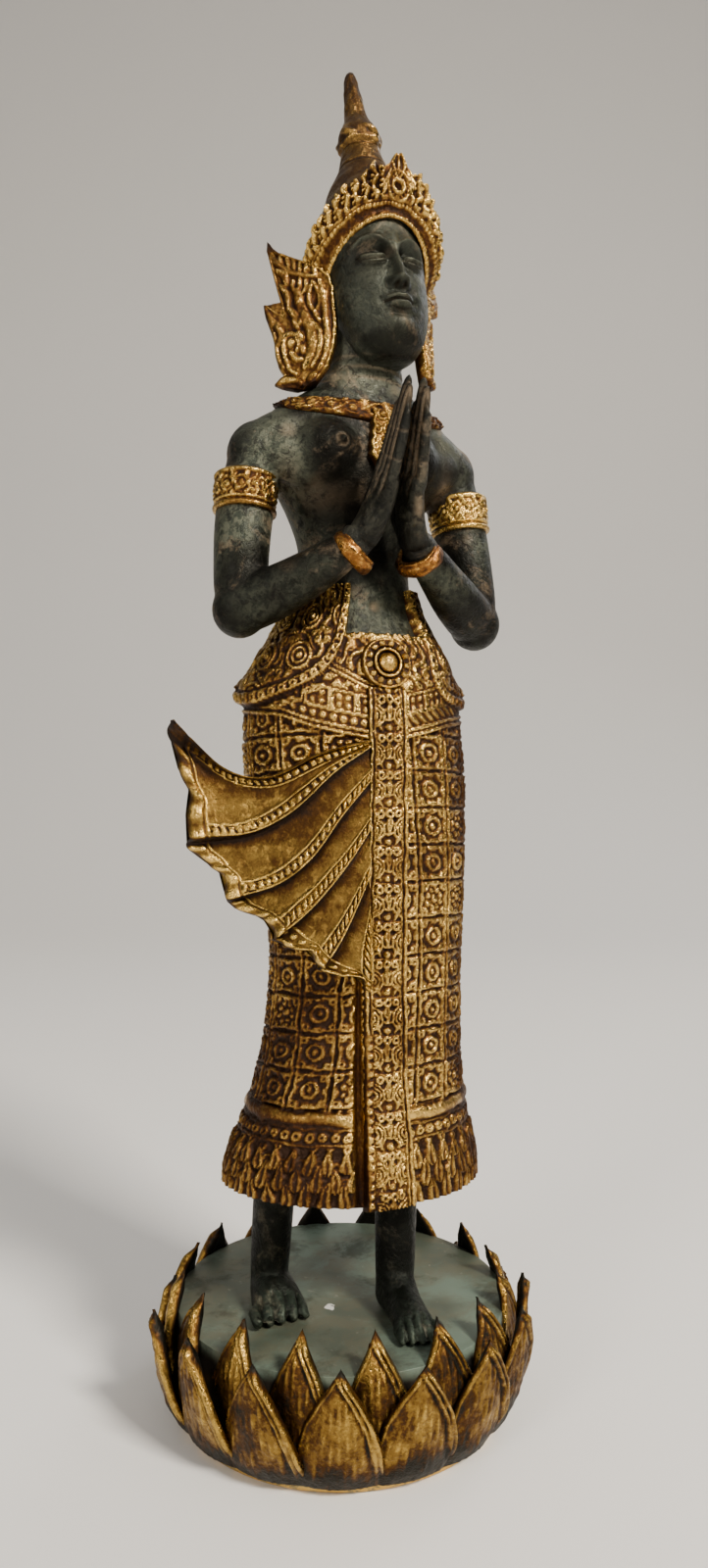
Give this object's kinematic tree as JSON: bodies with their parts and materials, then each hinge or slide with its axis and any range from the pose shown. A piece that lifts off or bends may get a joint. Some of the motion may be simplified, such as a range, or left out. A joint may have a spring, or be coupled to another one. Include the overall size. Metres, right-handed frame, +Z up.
{
  "type": "gilt bronze figure on lotus",
  "caption": "Standing celestial figure in a spired crown and long patterned skirt with a fanned sash, palms together, on a round lotus base of pointed petals.",
  "frame": {"origin": "centre of the flat underside of the lotus base", "axes": "+Z up along the figure, the figure faces -Y, and +X is on the figure's own left"},
  "size_m": [0.0826, 0.0826, 0.2829],
  "materials": {
    "gilt_bronze": "worn gilding over dark bronze, darker in the recesses",
    "dark_bronze": "dark green-black patina with grey-green verdigris"
  },
  "bodies": {
    "root": {"figure": "gilt_bronze", "lotus_base": "dark_bronze"}
  },
  "joints": []
}
